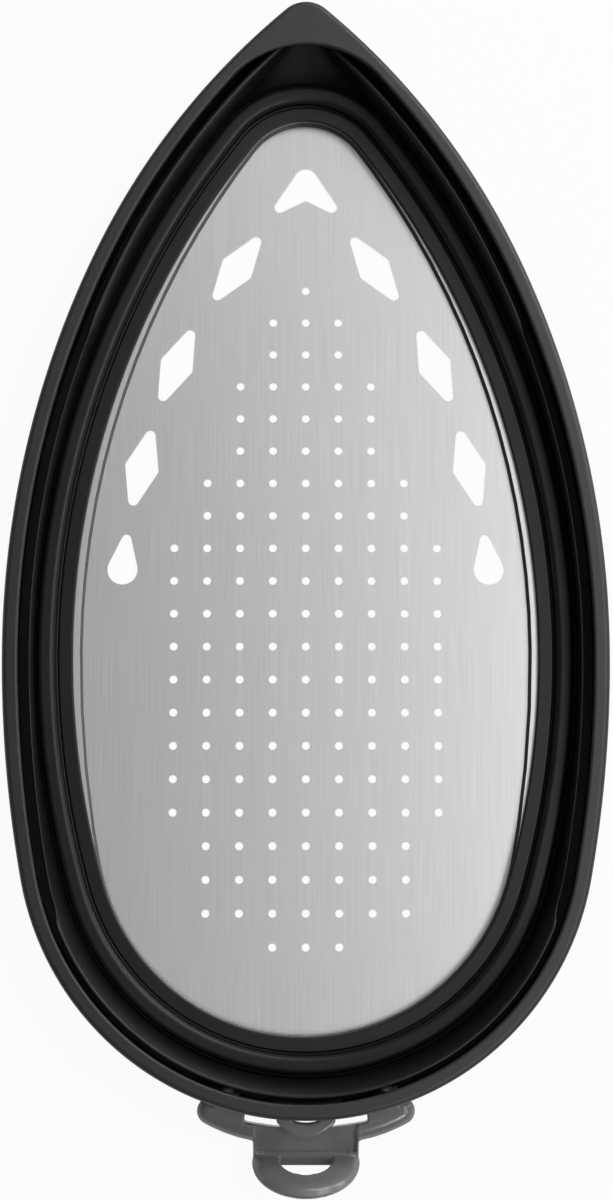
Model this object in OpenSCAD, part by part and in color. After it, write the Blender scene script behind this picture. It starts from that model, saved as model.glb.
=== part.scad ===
// Slip-on cover for the sole of a steam iron.
// A perforated metal sole plate sits in the bottom of a shallow boat-shaped rim,
// a soft liner seals it round the edge, and a stretchy strap hooks into the heel.
// The origin is the middle of the hole field, on the underside of the plate.
// The nose points along +Y, the heel along -Y, and the open side faces up.

/* [Sole plate] */
// Length of the flat face, nose to heel
face_len = 208.4; // [190:0.1:225]
// Greatest width of the flat face
face_w = 101.2; // [90:0.1:112]
// Distance from the middle of the hole field to the heel end of the face
face_heel = 94.3; // [88:0.1:100]
// Distance from the heel end of the face to its widest place
face_widest = 86; // [78:0.1:96]
// Radius of the nose of the face
face_nose_r = 14.7; // [10:0.1:20]
// How far each side swells beyond the round of the heel
face_swell = 3.7; // [1.5:0.1:7]
// Thickness of the sheet metal
sheet_t = 0.8; // [0.5:0.1:1.2]
// Width of the sloping step round the face
step_w = 0.6; // [0.4:0.1:1.4]
// Reach of the sheet beyond the face, step included
skirt_w = 4.2; // [3:0.1:4.7]

/* [Steam holes] */
// Diameter of a small hole
hole_d = 1.8; // [1:0.1:3]
// Spacing of the small holes, both ways
hole_pitch = 7.5; // [6:0.1:8.5]
// Length of a diamond cut-out, tip to tip
diamond_len = 17.9; // [12:0.1:20]
// Width of a diamond cut-out
diamond_w = 7.8; // [5:0.1:9]
// Radius of the corners of a diamond
diamond_r = 1.2; // [0.6:0.1:2]
// Distance from the widest edge of the face to the line of the diamonds
diamond_edge = 10.6; // [9:0.1:14]
// Radius of the curve that the diamonds follow
diamond_curve = 114.6; // [100:0.1:130]
// Distance of that curve's centre ahead of the widest place
diamond_ahead = 18.4; // [14:0.1:22]
// Radius of the round end of a teardrop cut-out
drop_r = 3.45; // [2.5:0.05:4.5]
// Radius of the narrow end of a teardrop
drop_tip_r = 1.1; // [0.6:0.1:1.8]
// Distance between the two ends of a teardrop
drop_len = 7; // [5:0.1:9]
// Distance from the widest edge of the face to the middle of a teardrop
drop_edge = 8.8; // [7.5:0.1:12]
// Radius of the top of the arrow cut-out
arrow_r = 2.7; // [2:0.1:3.5]
// Radius of the two feet of the arrow
arrow_foot_r = 1.3; // [0.8:0.1:1.8]
// Distance between the feet of the arrow
arrow_w = 12; // [9:0.1:14]
// Distance from the top of the arrow to the lowest point of its feet
arrow_h = 10.5; // [8:0.1:12]
// Depth of the notch between the feet
arrow_notch = 2.8; // [1:0.1:4]
// Distance from the nose of the face to the top of the arrow
arrow_edge = 10; // [7:0.1:14]

/* [Rim] */
// Distance from the face to the outside of the rim
rim_reach = 16.2; // [15.2:0.1:19]
// Distance from the nose of the face to the tip of the rim
tip_reach = 24.3; // [21:0.1:27]
// Radius of the tip
tip_r = 6.9; // [5.5:0.1:8]
// Direction that the flanks face where they begin to draw in to the tip
tip_blend = 25; // [20:0.1:30]
// Distance from the nose of the face to the edge of the rim's mouth
mouth_reach = 14.1; // [13:0.1:16]
// Radius of the mouth at the nose
mouth_r = 22; // [18:0.1:25]
// Height of the rim above the ironing surface
rim_h = 16; // [15:0.1:20]
// Thickness of the rim's wall
rim_t = 1.8; // [1.7:0.1:2.2]
// Width of the ledge round the top of the rim
ledge_w = 3.5; // [2.8:0.1:4.2]
// Thickness of that ledge
ledge_t = 1.5; // [1:0.1:2]
// Radius of the top outer edge
rim_edge_r = 1.2; // [0.3:0.1:1.4]
// Radius of the bottom outer edge
rim_foot_r = 0.8; // [0.3:0.1:0.8]
// How far the rim's floor clears the ironing surface
floor_lift = 0.6; // [0.3:0.1:1.2]
// Thickness of the rim's floor
floor_t = 1; // [0.8:0.1:1.6]

/* [Liner] */
// Bare strip of sheet metal left beside the lip at the sides
bare_side = 1.95; // [1.6:0.05:3]
// Bare strip left at the nose
bare_nose = 0.8; // [0.6:0.1:1.6]
// Bare strip left at the heel
bare_heel = 0.1; // [0:0.1:0.8]
// Width of the flat lip that lies on the sheet
lip_w = 3.3; // [2.8:0.1:4]
// Thickness of the lip
lip_t = 1.1; // [0.8:0.1:1.6]
// Width of the groove between the lip and the bead
groove_w = 0.5; // [0.3:0.1:0.8]
// Width of the bead
bead_w = 3.5; // [3:0.1:4]
// Height of the bead above the rim's floor
bead_h = 4.2; // [3.4:0.1:6]
// Radius of the bead's shoulders
bead_r = 1.3; // [0.8:0.1:1.4]
// Thickness of the rubber
rubber_t = 1.2; // [0.9:0.1:1.5]
// Gap between the bead and the foot of the wall
valley_w = 1.4; // [0.8:0.1:1.8]
// Lean of the liner's wall at the heel, foot to top
liner_lean = 1.6; // [1:0.1:2.1]
// Radius of the top edge at the tip
edge_tip_r = 2.5; // [1.5:0.1:4]
// Height of the liner's top edge at the sides, above the ironing surface
liner_h = 12.4; // [10:0.1:13.2]
// Height of the top edge at the nose
nose_edge_h = 13.2; // [11:0.1:13.6]
// Height of the top edge at the heel
heel_edge_h = 15; // [13:0.1:15.6]
// Thickness of the top edge at the sides
side_edge_t = 0.6; // [0.4:0.1:1.2]
// Thickness of the top edge at the nose
nose_edge_t = 1.6; // [0.8:0.1:2]
// Thickness of the top edge at the heel
heel_edge_t = 1.1; // [0.6:0.1:1.4]
// Distance ahead of the origin where the nose edge ends
nose_edge_at = 61.5; // [50:0.5:75]
// Distance behind the origin where the heel edge ends
heel_edge_at = 65; // [60:0.5:75]

/* [Heel strap] */
// Radial width of the strap across its wings
strap_w = 6.3; // [5:0.1:8]
// Thickness of the strap
strap_t = 3.6; // [3:0.1:4.5]
// Height of the strap's middle above the ironing surface
strap_z = 7.2; // [6:0.1:8]
// Clearance between the strap and the outside of the rim
strap_gap = 0.2; // [0.1:0.05:0.5]
// Angle from the middle to the centre of the round end of each wing
wing_angle = 18.5; // [17.5:0.1:19.5]
// Radius of that round end
wing_r = 3; // [2:0.1:3.6]
// How far the round ends draw in from the line of the strap
wing_drop = 1; // [0.6:0.1:1.6]
// Half angle at which the open slit ends
slit_out = 11.9; // [10.5:0.1:12]
// Radial width of the slit
slit_w = 2.5; // [1.8:0.1:3]
// Angle of the studs from the middle
stud_angle = 16.7; // [15.5:0.1:17.5]
// Diameter of a stud
stud_d = 3.4; // [2.4:0.1:4]
// Diameter of the head of a stud
stud_head_d = 6; // [5:0.1:7]
// Thickness of the heads inside the rim
head_t = 1.1; // [0.8:0.1:1.2]
// Clearance of the studs and the tongue in their holes
hole_gap = 0.3; // [0.1:0.05:0.5]
// Width of the tongue and of its D-shaped pad
tongue_w = 12.9; // [11:0.1:13.4]
// Thickness of the tongue
tongue_t = 2.2; // [1.6:0.1:2.6]
// Reach of the pad beyond the rim
pad_reach = 4.2; // [3.5:0.1:5.5]
// Radius of the end of the pad
pad_r = 8; // [7:0.1:12]
// Width of the window through the tongue
window_w = 7.8; // [6:0.1:9]
// Reach of the window beyond the rim
window_reach = 2.2; // [1.6:0.1:2.8]
// Radius of the end of the window
window_r = 8.1; // [6:0.1:12]
// Reach of the fold beyond the rim
fold_reach = 9.6; // [8:0.1:10.5]
// Height of the fold's middle above the ironing surface
fold_z = 2.6; // [2.2:0.1:3.5]
// Tilt of the pull loop up from level
loop_tilt = 64; // [45:1:70]
// Outer radius of the pull loop
loop_r = 11.8; // [10:0.1:13]
// Radius of the finger slot in the loop
finger_r = 6; // [4:0.1:7]
// Distance from the fold to the flat side of the finger slot
finger_at = 2; // [1.6:0.1:4]
// Thickness of the pull loop
loop_t = 2.6; // [2.2:0.1:3.4]

/* [Hidden] */

// Fineness: points on a small round, steps in a quarter round of a section,
// degrees a step in a round corner, points on a long curve
$fn = 64;
corner_steps = 3;
corner_turn = 15;
long_fn = 360;
// Overlap where two stretches of one moulding join
weld = 0.2;
// Length over which the liner's top edge rises
edge_ramp = 4;
// Clearance round the end of the sheet's skirt
skirt_gap = 0.05;
// Where the line of the strap begins to draw in to its wings, as an angle from the middle
wing_start = 9;
// Spread of the heads inside the rim, as an angle from the middle
heads_spread = 45;

// Places along the length
heel_y = -face_heel;
nose_y = face_len - face_heel;
widest_y = heel_y + face_widest;

// Heights above the ironing surface
floor_top = floor_lift + floor_t;
skirt_top = floor_top + sheet_t;

// Rows of small holes from nose to heel: number of rows, holes each side of the middle one
hole_rows = [[1, 0], [2, 1], [3, 2], [2, 3], [9, 4], [3, 3], [1, 1]];
// Diamonds from the widest place forward: angle along their curve, lean
diamonds = [[11.8, 14], [24.4, 23], [37.8, 35]];
// Lean of a teardrop towards the side
drop_lean = 7;

// An outline is a closed run of arcs that meet without a corner, counterclockwise.
// Each arc is [centre x, centre y, radius, first angle, last angle].
function flank_radius(half, run, nose_r) = (half ^ 2 + run ^ 2 - nose_r ^ 2) / (2 * (half - nose_r));

function boat(half, nose, heel, nose_r, heel_r) =
    let (
        flank_run = nose - nose_r - widest_y,
        side_run = widest_y - heel - heel_r,
        flank_r = flank_radius(half, flank_run, nose_r),
        side_r = flank_radius(half, side_run, heel_r),
        flank_end = atan2(flank_run, flank_r - half),
        side_end = atan2(side_run, side_r - half)
    )
    [
        [half - flank_r, widest_y, flank_r, 0, flank_end],
        [0, nose - nose_r, nose_r, flank_end, 180 - flank_end],
        [flank_r - half, widest_y, flank_r, 180 - flank_end, 180],
        [side_r - half, widest_y, side_r, 180, 180 + side_end],
        [0, heel + heel_r, heel_r, 180 + side_end, 360 - side_end],
        [half - side_r, widest_y, side_r, 360 - side_end, 360]
    ];

function grown(outline, by) = [for (a = outline) [a[0], a[1], a[2] + by, a[3], a[4]]];

function along(angle) = [cos(angle), sin(angle)];
function arc_point(a, angle) = [a[0], a[1]] + a[2] * along(angle);

// The same outline with its round nose drawn to a tip of another reach and radius
function pointed(outline, tip_y, tip_rad, blend) =
    let (
        flank = outline[0],
        start = arc_point(flank, blend),
        to_tip = [0, tip_y - tip_rad] - start,
        draw_r = (to_tip * to_tip - tip_rad ^ 2) / (-2 * (to_tip * along(blend) + tip_rad)),
        draw_c = start - draw_r * along(blend),
        tip_end = atan2(tip_y - tip_rad - draw_c[1], -draw_c[0])
    )
    [
        [flank[0], flank[1], flank[2], 0, blend],
        [draw_c[0], draw_c[1], draw_r, blend, tip_end],
        [0, tip_y - tip_rad, tip_rad, tip_end, 180 - tip_end],
        [-draw_c[0], draw_c[1], draw_r, 180 - tip_end, 180 - blend],
        [-flank[0], flank[1], flank[2], 180 - blend, 180],
        outline[3],
        outline[4],
        outline[5]
    ];

// The directions that the outlines face, right side first: first angle, last angle, number of steps
turn_runs = [[0, 50, 20], [50, 130, 12], [130, 180, 20], [180, 192, 4], [192, 348, 30], [348, 360, 4]];
turns = [for (r = turn_runs) for (k = [0:r[2] - 1]) r[0] + (r[1] - r[0]) * k / r[2]];

// The point of an outline that faces a direction
function facing(outline, turn) =
    let (a = [for (a = outline) if (turn >= a[3] && turn < a[4]) a][0])
        arc_point(a, turn);

// The flat area inside an outline
module area(outline) {
    polygon([for (turn = turns) facing(outline, turn)]);
}

// The points of a rounded corner of a section: a quarter turn from the first angle
function round_corner(centre, r, first, turn = 90) =
    [for (k = [0:corner_steps]) centre + r * along(first + turn * k / corner_steps)];

// The same corners, each with the outline that it is measured from
function beside(outline, corners) = [for (c = corners) [outline, c[0], c[1]]];

// One closed skin round the cover. section is a function of the direction: a run of corners,
// clockwise seen from ahead, each [outline, distance outside it, height].
module skin(section) {
    around = len(turns);
    corners = len(section(0));
    points = [
        for (turn = turns, c = section(turn))
            let (place = facing(c[0], turn) + c[1] * along(turn)) [place[0], place[1], c[2]]
    ];
    faces = [
        for (i = [0:around - 1], j = [0:corners - 1])
            let (here = i * corners, next = (i + 1) % around * corners, side = (j + 1) % corners)
                [here + j, here + side, next + side, next + j]
    ];
    polyhedron(points, faces, convexity = 4);
}

// The direction that the straight run between two corner circles faces
function facing_out(a, b) =
    atan2(b[1] - a[1], b[0] - a[0]) - acos((a[2] - b[2]) / norm([b[0] - a[0], b[1] - a[1]]));

// A shape with rounded corners, from corner circles [x, y, radius] counterclockwise
module rounded(corners) {
    count = len(corners);
    polygon([
        for (i = [0:count - 1])
            let (
                corner = corners[i],
                first = facing_out(corners[(i + count - 1) % count], corner),
                last = facing_out(corner, corners[(i + 1) % count]),
                turn = (last - first + 360) % 360,
                steps = corner[2] > 0 ? ceil(turn / corner_turn) : 0
            )
                for (k = [0:steps])
                    [corner[0], corner[1]] + corner[2] * along(first + turn * k / max(steps, 1))
    ]);
}

heel_r = face_w / 2 - face_swell;
face = boat(face_w / 2, nose_y, heel_y, face_nose_r, heel_r);
rim_inner = grown(face, rim_reach);
rim_outline = pointed(rim_inner, nose_y + tip_reach, tip_r, tip_blend);
lip_line = boat(
    face_w / 2 + bare_side,
    nose_y + bare_nose,
    heel_y - bare_heel,
    face_nose_r + bare_nose,
    heel_r + bare_heel
);
// The heel end is one arc about this point
heel_c = [0, heel_y + heel_r];
rim_heel_r = heel_r + rim_reach;
fold_y = heel_c[1] - rim_heel_r - fold_reach;
tongue_z = strap_z + strap_t / 2 + tongue_t / 2 - weld;

// Sole plate: a shallow pan pressed from brushed, perforated sheet
module diamond() {
    long = diamond_len / 2 - diamond_r;
    wide = diamond_w / 2 - diamond_r;
    rounded([[wide, 0, diamond_r], [0, long, diamond_r], [-wide, 0, diamond_r], [0, -long, diamond_r]]);
}

module teardrop() {
    rounded([[0, 0, drop_r], [0, drop_len, drop_tip_r]]);
}

module arrow() {
    foot_y = arrow_foot_r - arrow_h;
    rounded([
        [0, -arrow_r, arrow_r],
        [-arrow_w / 2, foot_y, arrow_foot_r],
        [0, arrow_notch - arrow_h, 0],
        [arrow_w / 2, foot_y, arrow_foot_r]
    ]);
}

module side_cutouts() {
    curve_c = [face_w / 2 - diamond_edge - diamond_curve, widest_y + diamond_ahead];
    for (d = diamonds)
        translate(curve_c + diamond_curve * along(d[0])) rotate(d[1]) diamond();
    translate([face_w / 2 - drop_edge, widest_y + diamond_ahead]) rotate(drop_lean) teardrop();
}

module steam_holes() {
    counts = [for (g = hole_rows) each [for (k = [1:g[0]]) g[1]]];
    middle = (len(counts) - 1) / 2;
    for (row = [0:len(counts) - 1])
        for (col = [-counts[row]:counts[row]])
            translate([col * hole_pitch, (middle - row) * hole_pitch]) circle(d = hole_d);
}

module sole_plate() {
    color("silver") {
        linear_extrude(sheet_t)
            difference() {
                area(face);
                steam_holes();
                side_cutouts();
                mirror([1, 0]) side_cutouts();
                translate([0, nose_y - arrow_edge]) arrow();
            }
        skin(function (turn) beside(face, [
            [-weld, sheet_t],
            [-weld, 0],
            [0, 0],
            [step_w, floor_top],
            [skirt_w, floor_top],
            [skirt_w, skirt_top],
            [step_w, skirt_top],
            [0, sheet_t]
        ]));
    }
}

// Rim: one hard moulding with a floor, a wall and a ledge that turns in over the mouth
module rim_shell() {
    ledge_line = pointed(grown(face, rim_reach - ledge_w), nose_y + mouth_reach, mouth_r, tip_blend);
    floor_line = grown(face, step_w + floor_t / 2);
    border_r = ledge_t / 3;
    skin(function (turn) [
        each beside(floor_line, [[0, floor_top], [0, floor_lift]]),
        each beside(rim_outline, round_corner([-rim_foot_r, floor_lift + rim_foot_r], rim_foot_r, -90)),
        each beside(rim_outline, round_corner([-rim_edge_r, rim_h - rim_edge_r], rim_edge_r, 0)),
        each beside(ledge_line, round_corner([border_r, rim_h - border_r], border_r, 90)),
        each beside(ledge_line, round_corner([border_r, rim_h - ledge_t + border_r], border_r, 180)),
        each beside(rim_outline, [[-rim_t, rim_h - ledge_t], [-rim_t, floor_top]])
    ]);
}

// Turns its children about the heel's centre, from the middle of the heel
module at_heel(angle) {
    translate([heel_c[0], heel_c[1], 0]) rotate(angle - 90) children();
}

module stud(d, from, to) {
    for (side = [-1, 1])
        at_heel(side * stud_angle)
            translate([from, 0, strap_z]) rotate([0, 90, 0]) cylinder(d = d, h = to - from);
}

module tongue(grow, from, to) {
    width = tongue_w + 2 * grow;
    translate([-width / 2, heel_c[1] - to, tongue_z - tongue_t / 2 - grow])
        cube([width, to - from, tongue_t + 2 * grow]);
}

module rim() {
    color([0.2, 0.2, 0.2])
        difference() {
            rim_shell();
            stud(stud_d + 2 * hole_gap, rim_heel_r - 2 * rim_t, rim_heel_r + rim_t);
            tongue(hole_gap, rim_heel_r - 2 * rim_t, rim_heel_r + rim_t);
        }
}

// Liner: one soft moulding, a flat lip on the sheet, a hollow bead and a wall
bead_in = lip_w + groove_w;
wall_in = bead_in + bead_w + valley_w;
// The wall's top edge keeps its distance from the rim, all round
edge_reach = bare_heel + wall_in + liner_lean;
edge_line = pointed(
    grown(face, edge_reach),
    nose_y + tip_reach - rim_reach + edge_reach,
    edge_tip_r,
    tip_blend
);
skirt_line = grown(face, skirt_w + skirt_gap);

// The liner's section for a height and a thickness of its top edge
function liner_section(top, edge_t) =
    let (
        lip_r = lip_t / 3,
        edge_r = edge_t / 3,
        hollow_r = bead_w / 2 - rubber_t,
        bead_mid = bead_in + bead_w / 2,
        bead_out = bead_in + bead_w,
        bead_top = floor_top + bead_h,
        hollow_c = bead_top - rubber_t - hollow_r
    )
    [
        each beside(lip_line, round_corner([lip_r, skirt_top + lip_t - lip_r], lip_r, 90)),
        each beside(lip_line, round_corner([lip_r, skirt_top + lip_r], lip_r, 180)),
        each beside(skirt_line, [[0, skirt_top], [0, floor_top]]),
        each beside(lip_line, [[bead_mid - hollow_r, floor_top]]),
        each beside(lip_line, round_corner([bead_mid, hollow_c], hollow_r, 180, -180)),
        each beside(lip_line, [[bead_mid + hollow_r, floor_top], [wall_in + rubber_t, floor_top]]),
        each beside(edge_line, round_corner([edge_t - edge_r, top - edge_r], edge_r, 0)),
        each beside(edge_line, round_corner([edge_r, top - edge_r], edge_r, 90)),
        each beside(lip_line, [[wall_in, floor_top + rubber_t], [bead_out, floor_top + rubber_t]]),
        each beside(lip_line, round_corner([bead_out - bead_r, bead_top - bead_r], bead_r, 0)),
        each beside(lip_line, round_corner([bead_in + bead_r, bead_top - bead_r], bead_r, 90)),
        each beside(lip_line, [[bead_in, skirt_top + lip_t / 2], [lip_w, skirt_top + lip_t / 2]]),
        each beside(lip_line, [[lip_w, skirt_top + lip_t]])
    ];

// Goes from nothing to one in a smooth step
function rise(t) = let (u = max(0, min(1, t))) u * u * (3 - 2 * u);

// A size of the top edge at a place along the cover
function by_place(y, side, nose, heel) =
    side
        + (nose - side) * rise((y - nose_edge_at) / edge_ramp)
        + (heel - side) * rise((-heel_edge_at - y) / edge_ramp);

module liner() {
    color([0.1, 0.1, 0.1])
        skin(function (turn)
            let (y = facing(edge_line, turn)[1])
                liner_section(
                    by_place(y, liner_h, nose_edge_h, heel_edge_h),
                    by_place(y, side_edge_t, nose_edge_t, heel_edge_t)
                ));
}

// Heel strap: one soft moulding with two wings, a pad on a tongue and a pull loop
strap_in = rim_heel_r + strap_gap;
strap_out = strap_in + strap_w;

// The outline of the strap seen from above: an arc about the heel's centre, which draws in to
// a round end at each wing
function strap_outline() =
    let (
        end_reach = strap_out - wing_r,
        end_c = heel_c + (end_reach - wing_drop) * along(wing_angle - 90),
        start = along(wing_start - 90),
        from_heel = end_c - heel_c,
        draw_out = (end_reach ^ 2 - from_heel * from_heel) / (2 * (end_reach - from_heel * start)),
        draw_c = heel_c + draw_out * start,
        draw_r = strap_out - draw_out,
        to_end = end_c - draw_c,
        draw_end = 360 + atan2(to_end[1], to_end[0])
    )
    [
        [end_c[0], end_c[1], wing_r, 0, 90],
        [-end_c[0], end_c[1], wing_r, 90, 540 - draw_end],
        [-draw_c[0], draw_c[1], draw_r, 540 - draw_end, 270 - wing_start],
        [heel_c[0], heel_c[1], strap_out, 270 - wing_start, 270 + wing_start],
        [draw_c[0], draw_c[1], draw_r, 270 + wing_start, draw_end],
        [end_c[0], end_c[1], wing_r, draw_end, 360]
    ];

// A plate with this outline and a rounded edge
module plate(outline, low, high, edge_r) {
    around = len(turns);
    rims = [
        each round_corner([-edge_r, low + edge_r], edge_r, -90),
        each round_corner([-edge_r, high - edge_r], edge_r, 0)
    ];
    points = [
        for (rim = rims, turn = turns)
            let (place = facing(outline, turn) + rim[0] * along(turn)) [place[0], place[1], rim[1]]
    ];
    last = (len(rims) - 1) * around;
    faces = [
        [for (i = [0:around - 1]) i],
        [for (i = [0:around - 1]) last + around - 1 - i],
        for (j = [0:len(rims) - 2], i = [0:around - 1])
            let (here = j * around, next = (i + 1) % around)
                [here + i, here + around + i, here + around + next, here + next]
    ];
    polyhedron(points, faces, convexity = 4);
}

module strap_slit() {
    at_heel(-slit_out)
        rotate_extrude(angle = 2 * slit_out, $fn = long_fn)
            translate([strap_in - weld, strap_z - strap_t]) square([slit_w + weld, 2 * strap_t]);
}

// The web runs down from the wings to the fold, as a slab seen from the side
module strap_web() {
    web_r = loop_t / 2;
    web_half = sqrt(loop_r ^ 2 - finger_at ^ 2);
    rotate([90, 0, 90])
        translate([0, 0, -web_half])
            linear_extrude(2 * web_half)
                rounded([
                    [fold_y, fold_z, web_r],
                    [heel_c[1] - strap_out + strap_w / 2, strap_z, web_r]
                ]);
}

// The loop is a round plate, cut off at the fold, with a D-shaped finger slot
module pull_loop() {
    edge_r = loop_t / 3;
    translate([0, fold_y, fold_z])
        rotate([-loop_tilt, 0, 0])
            translate([0, -finger_at, 0])
                difference() {
                    rotate_extrude()
                        rounded([
                            [0, -loop_t / 2, 0],
                            [loop_r - edge_r, -loop_t / 2 + edge_r, edge_r],
                            [loop_r - edge_r, loop_t / 2 - edge_r, edge_r],
                            [0, loop_t / 2, 0]
                        ]);
                    translate([-loop_r, finger_at, -loop_t]) cube([2 * loop_r, loop_r, 2 * loop_t]);
                    translate([0, 0, -loop_t])
                        linear_extrude(2 * loop_t)
                            intersection() {
                                circle(r = finger_r);
                                translate([-finger_r, -2 * finger_r]) square(2 * finger_r);
                            }
                }
}

// The end of a tongue beyond the rim, rounded to a wide arc
module tongue_end(width, reach, end_r, from, high) {
    end_y = heel_c[1] - rim_heel_r - reach;
    low = tongue_z - high / 2;
    intersection() {
        translate([0, end_y + end_r, low]) cylinder(r = end_r, h = high);
        translate([-width / 2, end_y, low]) cube([width, reach - from, high]);
    }
}

module strap_pad() {
    difference() {
        tongue_end(tongue_w, pad_reach, pad_r, -weld, tongue_t);
        tongue_end(window_w, window_reach, window_r, 0, 2 * tongue_t);
    }
}

module strap_heads() {
    head_out = rim_heel_r - rim_t - strap_gap / 2;
    intersection() {
        union() {
            stud(stud_head_d, head_out - 2 * head_t, head_out + head_t);
            tongue(rubber_t, head_out - 2 * head_t, head_out + head_t);
        }
        at_heel(-heads_spread)
            rotate_extrude(angle = 2 * heads_spread, $fn = long_fn)
                translate([head_out - head_t, 0]) square([head_t, rim_h]);
    }
}

module heel_strap() {
    color([0.36, 0.36, 0.36]) {
        difference() {
            union() {
                plate(strap_outline(), strap_z - strap_t / 2, strap_z + strap_t / 2, strap_t / 3);
                strap_web();
            }
            translate([heel_c[0], heel_c[1], 0]) cylinder(r = strap_in, h = rim_h, $fn = long_fn);
            strap_slit();
        }
        pull_loop();
        strap_pad();
        strap_heads();
        stud(stud_d, rim_heel_r - rim_t - head_t, strap_in + weld);
        tongue(0, rim_heel_r - rim_t - head_t, rim_heel_r);
    }
}

rim();
liner();
sole_plate();
heel_strap();
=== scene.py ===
from math import atan2, cos, degrees, radians, sin, sqrt

import bmesh
import bpy
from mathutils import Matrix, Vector


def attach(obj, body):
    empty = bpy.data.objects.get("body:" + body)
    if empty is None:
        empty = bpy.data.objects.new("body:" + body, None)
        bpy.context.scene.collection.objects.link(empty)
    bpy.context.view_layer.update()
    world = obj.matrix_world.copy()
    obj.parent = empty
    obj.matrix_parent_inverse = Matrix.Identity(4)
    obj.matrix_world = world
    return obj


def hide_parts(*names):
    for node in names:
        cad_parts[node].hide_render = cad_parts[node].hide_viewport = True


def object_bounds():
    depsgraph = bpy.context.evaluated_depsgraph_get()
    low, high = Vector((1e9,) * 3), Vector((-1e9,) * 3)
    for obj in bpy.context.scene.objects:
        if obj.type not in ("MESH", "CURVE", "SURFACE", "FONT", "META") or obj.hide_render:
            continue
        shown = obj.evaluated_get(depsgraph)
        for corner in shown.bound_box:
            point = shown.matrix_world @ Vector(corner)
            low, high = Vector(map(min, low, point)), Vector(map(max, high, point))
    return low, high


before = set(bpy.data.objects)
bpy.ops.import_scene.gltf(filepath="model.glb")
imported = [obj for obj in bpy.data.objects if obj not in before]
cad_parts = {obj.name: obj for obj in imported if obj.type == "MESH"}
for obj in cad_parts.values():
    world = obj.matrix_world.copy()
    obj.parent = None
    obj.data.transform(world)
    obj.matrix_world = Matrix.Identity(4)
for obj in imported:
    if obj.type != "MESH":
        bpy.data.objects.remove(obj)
cad_box = [list(corner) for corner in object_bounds()]
mm = 0.001

# Rim: one hard black moulding with a satin skin. Its ledge turns in over the mouth,
# its wall drops to a narrow floor ring, and the nose runs out to a small point.
face_length, face_width, face_heel = 208.4, 101.2, 94.3
heel_to_widest, face_swell, face_nose_r = 86, 3.7, 14.7
rim_reach, tip_reach, tip_r, tip_blend = 16.2, 24.3, 6.9, 25
mouth_reach, mouth_r = 14.1, 22
rim_height, rim_wall, ledge_width, ledge_thick = 16, 1.8, 3.5, 1.5
floor_under, floor_thick, step_width, skirt_width = 0.6, 1.0, 0.6, 4.2
heel_y = -face_heel
nose_y = face_length - face_heel
widest_y = heel_y + heel_to_widest
heel_r = face_width / 2 - face_swell


def along(turn):
    """The way that a turn in degrees points."""
    return cos(radians(turn)), sin(radians(turn))


def boat(half, nose, heel, small_r, round_r):
    """Outline of six arcs (x, y, radius, first angle, last angle), pointed end ahead."""
    flank_run = nose - small_r - widest_y
    side_run = widest_y - heel - round_r
    flank_r = (half**2 + flank_run**2 - small_r**2) / (2 * (half - small_r))
    side_r = (half**2 + side_run**2 - round_r**2) / (2 * (half - round_r))
    flank_end = degrees(atan2(flank_run, flank_r - half))
    side_end = degrees(atan2(side_run, side_r - half))
    return [
        (half - flank_r, widest_y, flank_r, 0, flank_end),
        (0, nose - small_r, small_r, flank_end, 180 - flank_end),
        (flank_r - half, widest_y, flank_r, 180 - flank_end, 180),
        (side_r - half, widest_y, side_r, 180, 180 + side_end),
        (0, heel + round_r, round_r, 180 + side_end, 360 - side_end),
        (half - side_r, widest_y, side_r, 360 - side_end, 360),
    ]


def grown(outline, by):
    """The same outline, set out by a distance."""
    return [(x, y, r + by, first, last) for x, y, r, first, last in outline]


def pointed(outline, tip_y, tip_r):
    """The same outline with its round nose drawn to a tip of another reach and radius."""
    x, y, r, _, _ = outline[0]
    cx, cy = along(tip_blend)
    start_x, start_y = x + r * cx, y + r * cy
    to_x, to_y = -start_x, tip_y - tip_r - start_y
    draw_r = (to_x**2 + to_y**2 - tip_r**2) / (-2 * (to_x * cx + to_y * cy + tip_r))
    draw_x, draw_y = start_x - draw_r * cx, start_y - draw_r * cy
    tip_end = degrees(atan2(tip_y - tip_r - draw_y, -draw_x))
    return [
        (x, y, r, 0, tip_blend),
        (draw_x, draw_y, draw_r, tip_blend, tip_end),
        (0, tip_y - tip_r, tip_r, tip_end, 180 - tip_end),
        (-draw_x, draw_y, draw_r, 180 - tip_end, 180 - tip_blend),
        (-x, y, r, 180 - tip_blend, 180),
        *outline[3:],
    ]


def facing(outline, turn):
    """The point of an outline that faces a direction."""
    x, y, r, _, _ = next(arc for arc in outline if arc[3] <= turn < arc[4])
    cx, cy = along(turn)
    return x + r * cx, y + r * cy


def turns_round():
    """Directions right round the cover, close together where the outlines bend slowly."""
    flank, nose, side, heel = 70, 60, 16, 120
    runs = [
        (0, 50, flank),
        (50, 130, nose),
        (130, 180, flank),
        (180, 192, side),
        (192, 348, heel),
        (348, 360, side),
    ]
    return [a + (b - a) * k / steps for a, b, steps in runs for k in range(steps)]


def corner(x, z, r, first, turn=90, steps=6):
    """A rounded corner of a section, as points of an arc from its first angle."""
    ways = [along(first + turn * k / steps) for k in range(steps + 1)]
    return [(x + r * cx, z + r * cz) for cx, cz in ways]


def beside(outline, points):
    """Points of a section, each with the outline that it is measured from."""
    return [(outline, x, z) for x, z in points]


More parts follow.
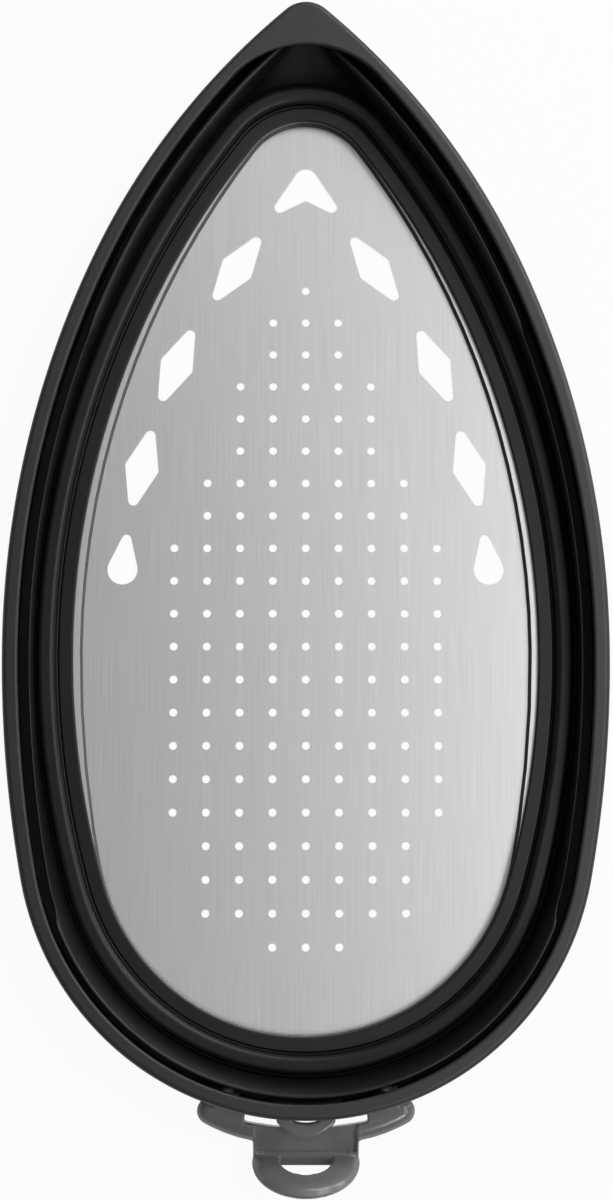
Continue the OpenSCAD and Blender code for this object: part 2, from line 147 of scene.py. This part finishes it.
def skin(name, section, turns):
    """A closed moulding: one section of points (outline, distance outside it, height) all round.
    Long flat stretches get a point near each end, so that only the corners shade round."""
    long_flat, end_room, end_share = 1.1 * mm, 0.15 * mm, 0.3
    mesh = bmesh.new()
    rings = []
    flats = None
    for turn in turns:
        points = []
        for outline, out, height in section(turn):
            x, y = facing(outline, turn)
            cx, cy = along(turn)
            points.append(Vector((x + out * cx, y + out * cy, height)) * mm)
        after = points[1:] + points[:1]
        if flats is None:
            flats = [(b - a).length > long_flat for a, b in zip(points, after)]
        ring = []
        for a, b, flat in zip(points, after, flats):
            ring.append(mesh.verts.new(a))
            if flat:
                near = min(end_room / (b - a).length, end_share)
                ring += [mesh.verts.new(a.lerp(b, near)), mesh.verts.new(a.lerp(b, 1 - near))]
        rings.append(ring)
    for ring, after in zip(rings, rings[1:] + rings[:1]):
        for a, b, c, d in zip(ring, ring[1:] + ring[:1], after[1:] + after[:1], after):
            mesh.faces.new((a, b, c, d))
    bmesh.ops.recalc_face_normals(mesh, faces=mesh.faces)
    data = bpy.data.meshes.new(name)
    mesh.to_mesh(data)
    mesh.free()
    piece = bpy.data.objects.new(name, data)
    bpy.context.collection.objects.link(piece)
    for polygon in data.polygons:
        polygon.use_smooth = True
    return piece


face = boat(face_width / 2, nose_y, heel_y, face_nose_r, heel_r)
rim_outline = pointed(grown(face, rim_reach), nose_y + tip_reach, tip_r)
ledge_line = pointed(grown(face, rim_reach - ledge_width), nose_y + mouth_reach, mouth_r)
floor_line = grown(face, step_width + floor_thick / 2)
edge_r, border_r, foot_r = 1.2, 0.5, 0.8
inner_top = rim_height - ledge_thick


def rim_section(turn):
    """From the floor ring out to the foot, up the wall, in over the ledge and back down."""
    return [
        *beside(floor_line, [(0, floor_under + floor_thick), (0, floor_under)]),
        *beside(rim_outline, corner(-foot_r, floor_under + foot_r, foot_r, -90)),
        *beside(rim_outline, corner(-edge_r, rim_height - edge_r, edge_r, 0)),
        *beside(ledge_line, corner(border_r, rim_height - border_r, border_r, 90)),
        *beside(ledge_line, corner(border_r, inner_top + border_r, border_r, 180)),
        *beside(rim_outline, [(-rim_wall, inner_top), (-rim_wall, floor_under + floor_thick)]),
    ]


def procedural(name, colour, roughness):
    """A new material with its shader and the object's own coordinates ready to link."""
    material = bpy.data.materials.new(name)
    material.use_nodes = True
    nodes, links = material.node_tree.nodes, material.node_tree.links
    shader = nodes["Principled BSDF"]
    shader.inputs["Base Color"].default_value = (*colour, 1)
    shader.inputs["Roughness"].default_value = roughness
    place = nodes.new("ShaderNodeTexCoord")
    return material, nodes, links, shader, place.outputs["Object"]


def moulded(name, dark, pale, roughness, grain_scale):
    """A satin moulding: a faint cloud of tone in the mix and an even fine grain."""
    material, nodes, links, shader, place = procedural(name, pale, roughness)
    cloud = nodes.new("ShaderNodeTexNoise")
    cloud.inputs["Scale"].default_value = 90
    cloud.inputs["Detail"].default_value = 4
    tone = nodes.new("ShaderNodeValToRGB")
    low, high = tone.color_ramp.elements
    low.position, high.position = 0.35, 0.65
    low.color, high.color = (*dark, 1), (*pale, 1)
    grain = nodes.new("ShaderNodeTexNoise")
    grain.inputs["Scale"].default_value = grain_scale
    grain.inputs["Detail"].default_value = 3
    bump = nodes.new("ShaderNodeBump")
    bump.inputs["Strength"].default_value = 0.12
    bump.inputs["Distance"].default_value = 0.0001
    links.new(place, cloud.inputs["Vector"])
    links.new(cloud.outputs["Fac"], tone.inputs["Fac"])
    links.new(tone.outputs["Color"], shader.inputs["Base Color"])
    links.new(place, grain.inputs["Vector"])
    links.new(grain.outputs["Fac"], bump.inputs["Height"])
    links.new(bump.outputs["Normal"], shader.inputs["Normal"])
    return material


rim = skin("rim_moulding", rim_section, turns_round())
material = moulded("rim_black", (0.018, 0.0182, 0.019), (0.022, 0.0222, 0.023), 0.45, 1800)
rim.data.materials.append(material)
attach(rim, "root")
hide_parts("rim")

# Liner: one soft black rubber moulding inside the rim. A flat lip lies on the plate's edge,
# beside it run a groove and a raised bead, and a wall leans out and up to below the ledge.
plate_sheet, skirt_gap = 0.8, 0.05
bare_side, bare_nose, bare_heel = 1.95, 0.5, 0.1
lip_width, lip_thick, groove_width = 3.3, 1.1, 0.5
bead_width, bead_height, bead_r, bead_flank = 3.5, 4.2, 1.3, 0.6
rubber, lean, valley, foot_round = 1.2, 1.6, 1.4, 0.3
edge_tip_r, nose_edge_at, heel_edge_at, edge_ramp, edge_round = 2.5, 61.5, 65, 4, 0.48
edge_heights, edge_widths, edge_shifts = (12.4, 13.2, 15), (0.4, 1.5, 0.9), (0, -0.4, 0.3)
floor_top = floor_under + floor_thick
skirt_top = floor_top + plate_sheet
bead_top = floor_top + bead_height
bead_in = lip_width + groove_width
bead_out = bead_in + bead_width
wall_in = bead_out + valley
edge_reach = bare_heel + wall_in + lean
skirt_line = grown(face, skirt_width + skirt_gap)
edge_tip_y = nose_y + tip_reach - rim_reach + edge_reach
edge_line = pointed(grown(face, edge_reach), edge_tip_y, edge_tip_r)
lip_line = boat(
    face_width / 2 + bare_side,
    nose_y + bare_nose,
    heel_y - bare_heel,
    face_nose_r + bare_nose,
    heel_r + bare_heel,
)


def held(share):
    """A share that stays between none and all."""
    return min(max(share, 0), 1)


def rise(share):
    """A smooth step from none to all."""
    share = held(share)
    return share * share * (3 - 2 * share)


def by_place(y, sizes):
    """A size of the wall's top edge, from its sizes at the side, the nose and the heel."""
    side, nose, heel = sizes
    to_nose = rise((y - nose_edge_at) / edge_ramp)
    to_heel = rise((-heel_edge_at - y) / edge_ramp)
    return side + (nose - side) * to_nose + (heel - side) * to_heel


def liner_section(turn):
    """From the lip down to the floor, out and up the wall, and back over valley and bead."""
    y = facing(edge_line, turn)[1]
    top, width, shift = (by_place(y, sizes) for sizes in (edge_heights, edge_widths, edge_shifts))
    lip_r, edge = lip_thick / 3, width * edge_round
    web, foot = floor_top + rubber, foot_round
    flank_x, bead_mid = bead_out + bead_flank - bead_r, bead_top - bead_r
    lip_mid = skirt_top + lip_thick / 2
    return [
        *beside(lip_line, corner(lip_r, skirt_top + lip_thick - lip_r, lip_r, 90)),
        *beside(lip_line, corner(lip_r, skirt_top + lip_r, lip_r, 180)),
        *beside(skirt_line, [(0, skirt_top), (0, floor_top)]),
        *beside(lip_line, [(wall_in + rubber, floor_top)]),
        *beside(edge_line, corner(shift + width - edge, top - edge, edge, 0)),
        *beside(edge_line, corner(shift + edge, top - edge, edge, 90)),
        *beside(lip_line, corner(wall_in - foot, web + foot, foot, 0, -90, 3)),
        *beside(lip_line, corner(flank_x, bead_mid, bead_r, -20, 110, 12)),
        *beside(lip_line, corner(bead_in + bead_r, bead_mid, bead_r, 90, 90, 10)),
        *beside(lip_line, [(bead_in, lip_mid), (lip_width, lip_mid)]),
        *beside(lip_line, corner(lip_width - lip_r, skirt_top + lip_thick - lip_r, lip_r, 0)),
    ]


liner = skin("liner_rubber", liner_section, turns_round())
material = moulded("liner_rubber", (0.004, 0.004, 0.0042), (0.006, 0.006, 0.0062), 0.42, 2600)
shader = material.node_tree.nodes["Principled BSDF"]
shader.inputs["Specular IOR Level"].default_value = 0.38
liner.data.materials.append(material)
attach(liner, "root")
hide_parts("liner")

# Sole plate: brushed sheet metal, perforated and pressed into a shallow pan. Its shape stays
# as cut in the solid. The grain runs along its length. The step between its two folds is
# darkened with painted shade, standing in for the shade and the dark liner's reflection there.
lower_fold, upper_fold, painted_fold_shade = 0.04, 0.88, 0.15
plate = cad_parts["sole_plate"]
material, nodes, links, shader, place = procedural("plate_brushed", (0.72, 0.72, 0.725), 0.34)
shader.inputs["Metallic"].default_value = 1
shader.inputs["Anisotropic"].default_value = 0.6
across = nodes.new("ShaderNodeTangent")
across.direction_type = "RADIAL"
across.axis = "Y"
links.new(across.outputs["Tangent"], shader.inputs["Tangent"])
stretch = nodes.new("ShaderNodeMapping")
stretch.inputs["Scale"].default_value = (2600, 40, 1)
streaks = nodes.new("ShaderNodeTexNoise")
streaks.inputs["Scale"].default_value = 1
streaks.inputs["Detail"].default_value = 6
tone = nodes.new("ShaderNodeValToRGB")
tone.color_ramp.elements[0].color = (0.62, 0.62, 0.625, 1)
tone.color_ramp.elements[1].color = (0.8, 0.8, 0.8, 1)
links.new(place, stretch.inputs["Vector"])
links.new(stretch.outputs["Vector"], streaks.inputs["Vector"])
links.new(streaks.outputs["Fac"], tone.inputs["Fac"])
# Painted shade: the base colour goes dark on the step's slope, from just above the face to just
# below the skirt.
height = nodes.new("ShaderNodeSeparateXYZ")
up_step = nodes.new("ShaderNodeMapRange")
up_step.inputs["From Min"].default_value = plate_sheet * mm
up_step.inputs["From Max"].default_value = (floor_top + plate_sheet) * mm
fold = nodes.new("ShaderNodeValToRGB")
for place_up in (lower_fold, upper_fold):
    fold.color_ramp.elements.new(place_up).color = (painted_fold_shade, painted_fold_shade, painted_fold_shade, 1)
fold.color_ramp.elements[0].color = fold.color_ramp.elements[-1].color = (1, 1, 1, 1)
painted_shade_mix = nodes.new("ShaderNodeMix")
painted_shade_mix.data_type = "RGBA"
painted_shade_mix.blend_type = "MULTIPLY"
painted_shade_mix.inputs["Factor"].default_value = 1
links.new(place, height.inputs["Vector"])
links.new(height.outputs["Z"], up_step.inputs["Value"])
links.new(up_step.outputs["Result"], fold.inputs["Fac"])
links.new(tone.outputs["Color"], painted_shade_mix.inputs["A"])
links.new(fold.outputs["Color"], painted_shade_mix.inputs["B"])
links.new(painted_shade_mix.outputs["Result"], shader.inputs["Base Color"])
plate.data.materials.clear()
plate.data.materials.append(material)

# Heel strap: one soft grey moulding with two wings, a pad, a web and a pull loop.
# It hooks into the heel wall with its tongue and two studs, whose round heads show in the gap.
heel_c_y = heel_y + heel_r
rim_heel_r = heel_r + rim_reach
strap_mid, strap_thick, strap_out = 7.2, 3.6, rim_heel_r + 6.5
strap_top = strap_mid + strap_thick / 2
wing_turn, wing_r, wing_drop, wing_start = 18.5, 3, 1, 9
slit_edge, web_half, web_low, web_start, web_fall = rim_heel_r + 2.7, 11.2, 4, 0.5, 0.7
fold_y, fold_z = heel_c_y - rim_heel_r - 9.6, 2.6
loop_tilt, loop_r, loop_thick, loop_soft, loop_start, finger_at = 64, 11.8, 2.6, 0.8, -0.5, 2
soft_edge, soft_drop, soft_end = 3, 2, 0.6
pad_half, pad_step, fold_room, top_room = 6.8, 0.3, 1, 0.1
window_reach, window_r, window_wall = 2.2, 8.1, 0.5
crescent_reach, crescent_half, crescent_end = 1.2, 4.8, 0.1
fill_half, fill_low, fill_high = 4.1, 8.95, 11.05
head_turn, head_r, head_z, head_size = 16.7, rim_heel_r - 3.45, 9.8, (1.5, 0.85, 3.2)
strap_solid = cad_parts["heel_strap"]
strap = bpy.data.objects.new("heel_strap_moulding", strap_solid.data.copy())
bpy.context.collection.objects.link(strap)


def add_dome(mesh, place, size):
    """The round top of a stud's head, in millimetres."""
    dome = bmesh.ops.create_uvsphere(mesh, u_segments=24, v_segments=16, radius=1)
    for vertex in dome["verts"]:
        vertex.co = Vector([(a + b * c) * mm for a, b, c in zip(place, size, vertex.co)])


def add_fill(mesh):
    """A block in the tongue's window, which leaves only a narrow crescent of it open."""
    steps = 6
    across = [fill_half * k / steps for k in range(-steps, steps + 1)]
    shape = []
    for x in across:
        reach = crescent_reach - crescent_reach * (x / crescent_half) ** 2
        shape.append((x, max(reach, crescent_end)))
    for x in reversed(across):
        shape.append((x, window_reach + window_wall - x**2 / (2 * window_r)))
    rows = [(x, heel_c_y - sqrt(rim_heel_r**2 - x**2) - out) for x, out in shape]
    low, high = (
        [mesh.verts.new(Vector((x, y, z)) * mm) for x, y in rows] for z in (fill_low, fill_high)
    )
    mesh.faces.new(high)
    mesh.faces.new(low[::-1])
    for a, b, c, d in zip(low, low[1:] + low[:1], high[1:] + high[:1], high):
        mesh.faces.new((a, b, c, d))


# The block and the heads join the cut solid under one even skin, whose edges are soft.
joined = bmesh.new()
add_fill(joined)
bmesh.ops.recalc_face_normals(joined, faces=joined.faces)
joined.from_mesh(strap.data)
for side in (-1, 1):
    cx, cy = along(270 + side * head_turn)
    add_dome(joined, (head_r * cx, heel_c_y + head_r * cy, head_z), head_size)
joined.to_mesh(strap.data)
joined.free()
remesh = strap.modifiers.new("even skin", "REMESH")
remesh.mode = "VOXEL"
remesh.voxel_size = 0.3 * mm
soften = strap.modifiers.new("soft edges", "SMOOTH")
soften.factor = 0.5
soften.iterations = 10
evaluated = strap.evaluated_get(bpy.context.evaluated_depsgraph_get())
strap_mesh = bpy.data.meshes.new_from_object(evaluated)
strap.modifiers.clear()
strap.data = strap_mesh

# The wings' outer line: about the heel's centre in the middle, then an arc that draws in to
# the round end of each wing.
wing_out = strap_out - wing_r
end_x = (wing_out - wing_drop) * sin(radians(wing_turn))
end_y = heel_c_y - (wing_out - wing_drop) * cos(radians(wing_turn))
start_x, start_y = sin(radians(wing_start)), -cos(radians(wing_start))
to_end = end_x * start_x + (end_y - heel_c_y) * start_y
draw_out = (wing_out**2 - end_x**2 - (end_y - heel_c_y) ** 2) / (2 * (wing_out - to_end))
draw_x, draw_y = draw_out * start_x, heel_c_y + draw_out * start_y


def depth_in_wings(x, y):
    """How far a place lies inside the wings' outer line."""
    x = abs(x)
    if abs(degrees(atan2(x, heel_c_y - y))) < wing_start:
        return strap_out - sqrt(x**2 + (y - heel_c_y) ** 2)
    if atan2(x - draw_x, draw_y - y) < atan2(end_x - draw_x, draw_y - end_y):
        return strap_out - draw_out - sqrt((x - draw_x) ** 2 + (y - draw_y) ** 2)
    return wing_r - sqrt((x - end_x) ** 2 + (y - end_y) ** 2)


def drop_at(depth):
    """How much a soft edge falls at a depth inside the outer line."""
    return soft_drop * (1 - sqrt(1 - held(1 - depth / soft_edge) ** 2))


# The upper edges of the loop and the wings are rounded off softly, and the web slopes down
# from the slit to the fold.
tilt_cos, tilt_sin = along(loop_tilt)
for vertex in strap_mesh.vertices:
    x, y, z = vertex.co / mm
    out = sqrt(x**2 + (y - heel_c_y) ** 2)
    back, up = fold_y - y, z - fold_z
    along_loop = back * tilt_cos + up * tilt_sin
    above_loop = up * tilt_cos - back * tilt_sin
    if along_loop > loop_start and y < fold_y + fold_room and out > strap_out:
        depth = loop_r - sqrt(x**2 + (along_loop - finger_at) ** 2)
        fall = loop_soft * drop_at(depth) * held(above_loop / (loop_thick / 2))
        y, z = y - fall * tilt_sin, z - fall * tilt_cos
    elif out > rim_heel_r:
        if z < strap_top + top_room:
            share = held((z - strap_mid) / (strap_thick / 2))
            beside_web = held((abs(x) - web_half + soft_end) / soft_end)
            z -= drop_at(depth_in_wings(x, y)) * share * beside_web
        on_pad = abs(x) < pad_half and z > strap_top + pad_step
        slope = strap_top - web_start - web_fall * (out - slit_edge)
        if abs(x) < web_half and out > slit_edge and not on_pad and z > slope > web_low:
            z = slope
    vertex.co = (x * mm, y * mm, z * mm)
for polygon in strap_mesh.polygons:
    polygon.use_smooth = True
material = moulded("strap_grey", (0.15, 0.15, 0.151), (0.18, 0.18, 0.181), 0.22, 2200)
strap.data.materials.clear()
strap.data.materials.append(material)
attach(strap, "root")
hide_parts("heel_strap")

# Studio: a pale floor and a sky that show white to the camera, soft lamps with the key at the
# upper right, and a camera above the cover, tipped a little towards the heel.
floor_half, floor_gap, floor_white = 1.5, 0.0002, 0.95
sky_dim, sky_white, sky_from, sky_to = 0.08, 0.9, 0.08, 0.16
floor_z = cad_box[0][2] - floor_gap
floor_mesh = bpy.data.meshes.new("floor")
corners = [(-1, -1), (1, -1), (1, 1), (-1, 1)]
corners = [(x * floor_half, y * floor_half, floor_z) for x, y in corners]
floor_mesh.from_pydata(corners, [], [(0, 1, 2, 3)])
floor = bpy.data.objects.new("floor", floor_mesh)
bpy.context.collection.objects.link(floor)
material, nodes, links, shader, _ = procedural("floor_pale", (0.6, 0.6, 0.6), 0.9)
glow = nodes.new("ShaderNodeEmission")
glow.inputs["Color"].default_value = (1, 1, 1, 1)


def reckon(nodes, links, operation, *values):
    """A value worked out from others, each linked in or plain."""
    made = nodes.new("ShaderNodeMath")
    made.operation = operation
    for k, value in enumerate(values):
        if isinstance(value, (int, float)):
            made.inputs[k].default_value = value
        else:
            links.new(value, made.inputs[k])
    return made.outputs["Value"]


def background_rays(nodes, links):
    """Rays that show the background: from the camera, and sent on by metal or a clear piece."""
    rays = nodes.new("ShaderNodeLightPath").outputs
    glossy, through = rays["Is Glossy Ray"], rays["Is Transmission Ray"]
    return rays["Is Camera Ray"], reckon(nodes, links, "MAXIMUM", glossy, through)


mix = nodes.new("ShaderNodeMixShader")
white = reckon(nodes, links, "MAXIMUM", *background_rays(nodes, links))
links.new(reckon(nodes, links, "MULTIPLY", white, floor_white), mix.inputs["Fac"])
links.new(shader.outputs["BSDF"], mix.inputs[1])
links.new(glow.outputs["Emission"], mix.inputs[2])
links.new(mix.outputs["Shader"], nodes["Material Output"].inputs["Surface"])
floor.data.materials.append(material)

# The sky is white to the camera. Metal and clear pieces see it white near the horizon only,
# so that it doesn't lift the blacks.
world = bpy.data.worlds.new("studio")
world.use_nodes = True
bpy.context.scene.world = world
background = world.node_tree.nodes["Background"]
background.inputs["Color"].default_value = (1, 1, 1, 1)
nodes, links = world.node_tree.nodes, world.node_tree.links
direction = nodes.new("ShaderNodeTexCoord")
height = nodes.new("ShaderNodeSeparateXYZ")
backdrop = nodes.new("ShaderNodeMapRange")
backdrop.inputs["From Min"].default_value = sky_from
backdrop.inputs["From Max"].default_value = sky_to
backdrop.inputs["To Min"].default_value = 1
backdrop.inputs["To Max"].default_value = 0
links.new(direction.outputs["Generated"], height.inputs["Vector"])
links.new(height.outputs["Z"], backdrop.inputs["Value"])
from_camera, sent_on = background_rays(nodes, links)
low_white = reckon(nodes, links, "MULTIPLY", sent_on, backdrop.outputs["Result"])
white = reckon(nodes, links, "MAXIMUM", from_camera, low_white)
strength = reckon(nodes, links, "MULTIPLY_ADD", white, sky_white, sky_dim)
links.new(strength, background.inputs["Strength"])


def lamp(name, place, target, size, power):
    """A soft box that faces a target."""
    data = bpy.data.lights.new(name, "AREA")
    data.shape = "RECTANGLE"
    data.size, data.size_y = size
    data.energy = power
    made = bpy.data.objects.new(name, data)
    made.location = place
    made.rotation_euler = (Vector(target) - Vector(place)).to_track_quat("-Z", "Y").to_euler()
    bpy.context.collection.objects.link(made)


lamp("top", (0.4, 0.33, 1), (0.4, 0.33, 0), (1.4, 1.4), 2.4)
lamp("key", (0.45, 0.28, 0.75), (0, 0.28, 0), (1.4, 0.3), 4.5)
lamp("side", (0.6, 0.35, 0.28), (0, 0, 0), (0.4, 0.2), 1.5)
lamp("heel", (0.24, -0.5, 0.64), (0, -0.12, 0), (0.14, 0.07), 1)
lamp("nose", (0.25, 0.6, 0.5), (0, -0.05, 0), (0.5, 0.25), 1.8)

camera_data = bpy.data.cameras.new("camera")
camera_data.lens = 56.44
camera = bpy.data.objects.new("camera", camera_data)
camera.location = (-2.19 * mm, -39.25 * mm, 427.16 * mm)
camera.rotation_euler = (radians(5.6763), radians(-0.3161), radians(-0.0057))
bpy.context.collection.objects.link(camera)
bpy.context.scene.camera = camera
bpy.context.scene.view_settings.view_transform = "Standard"
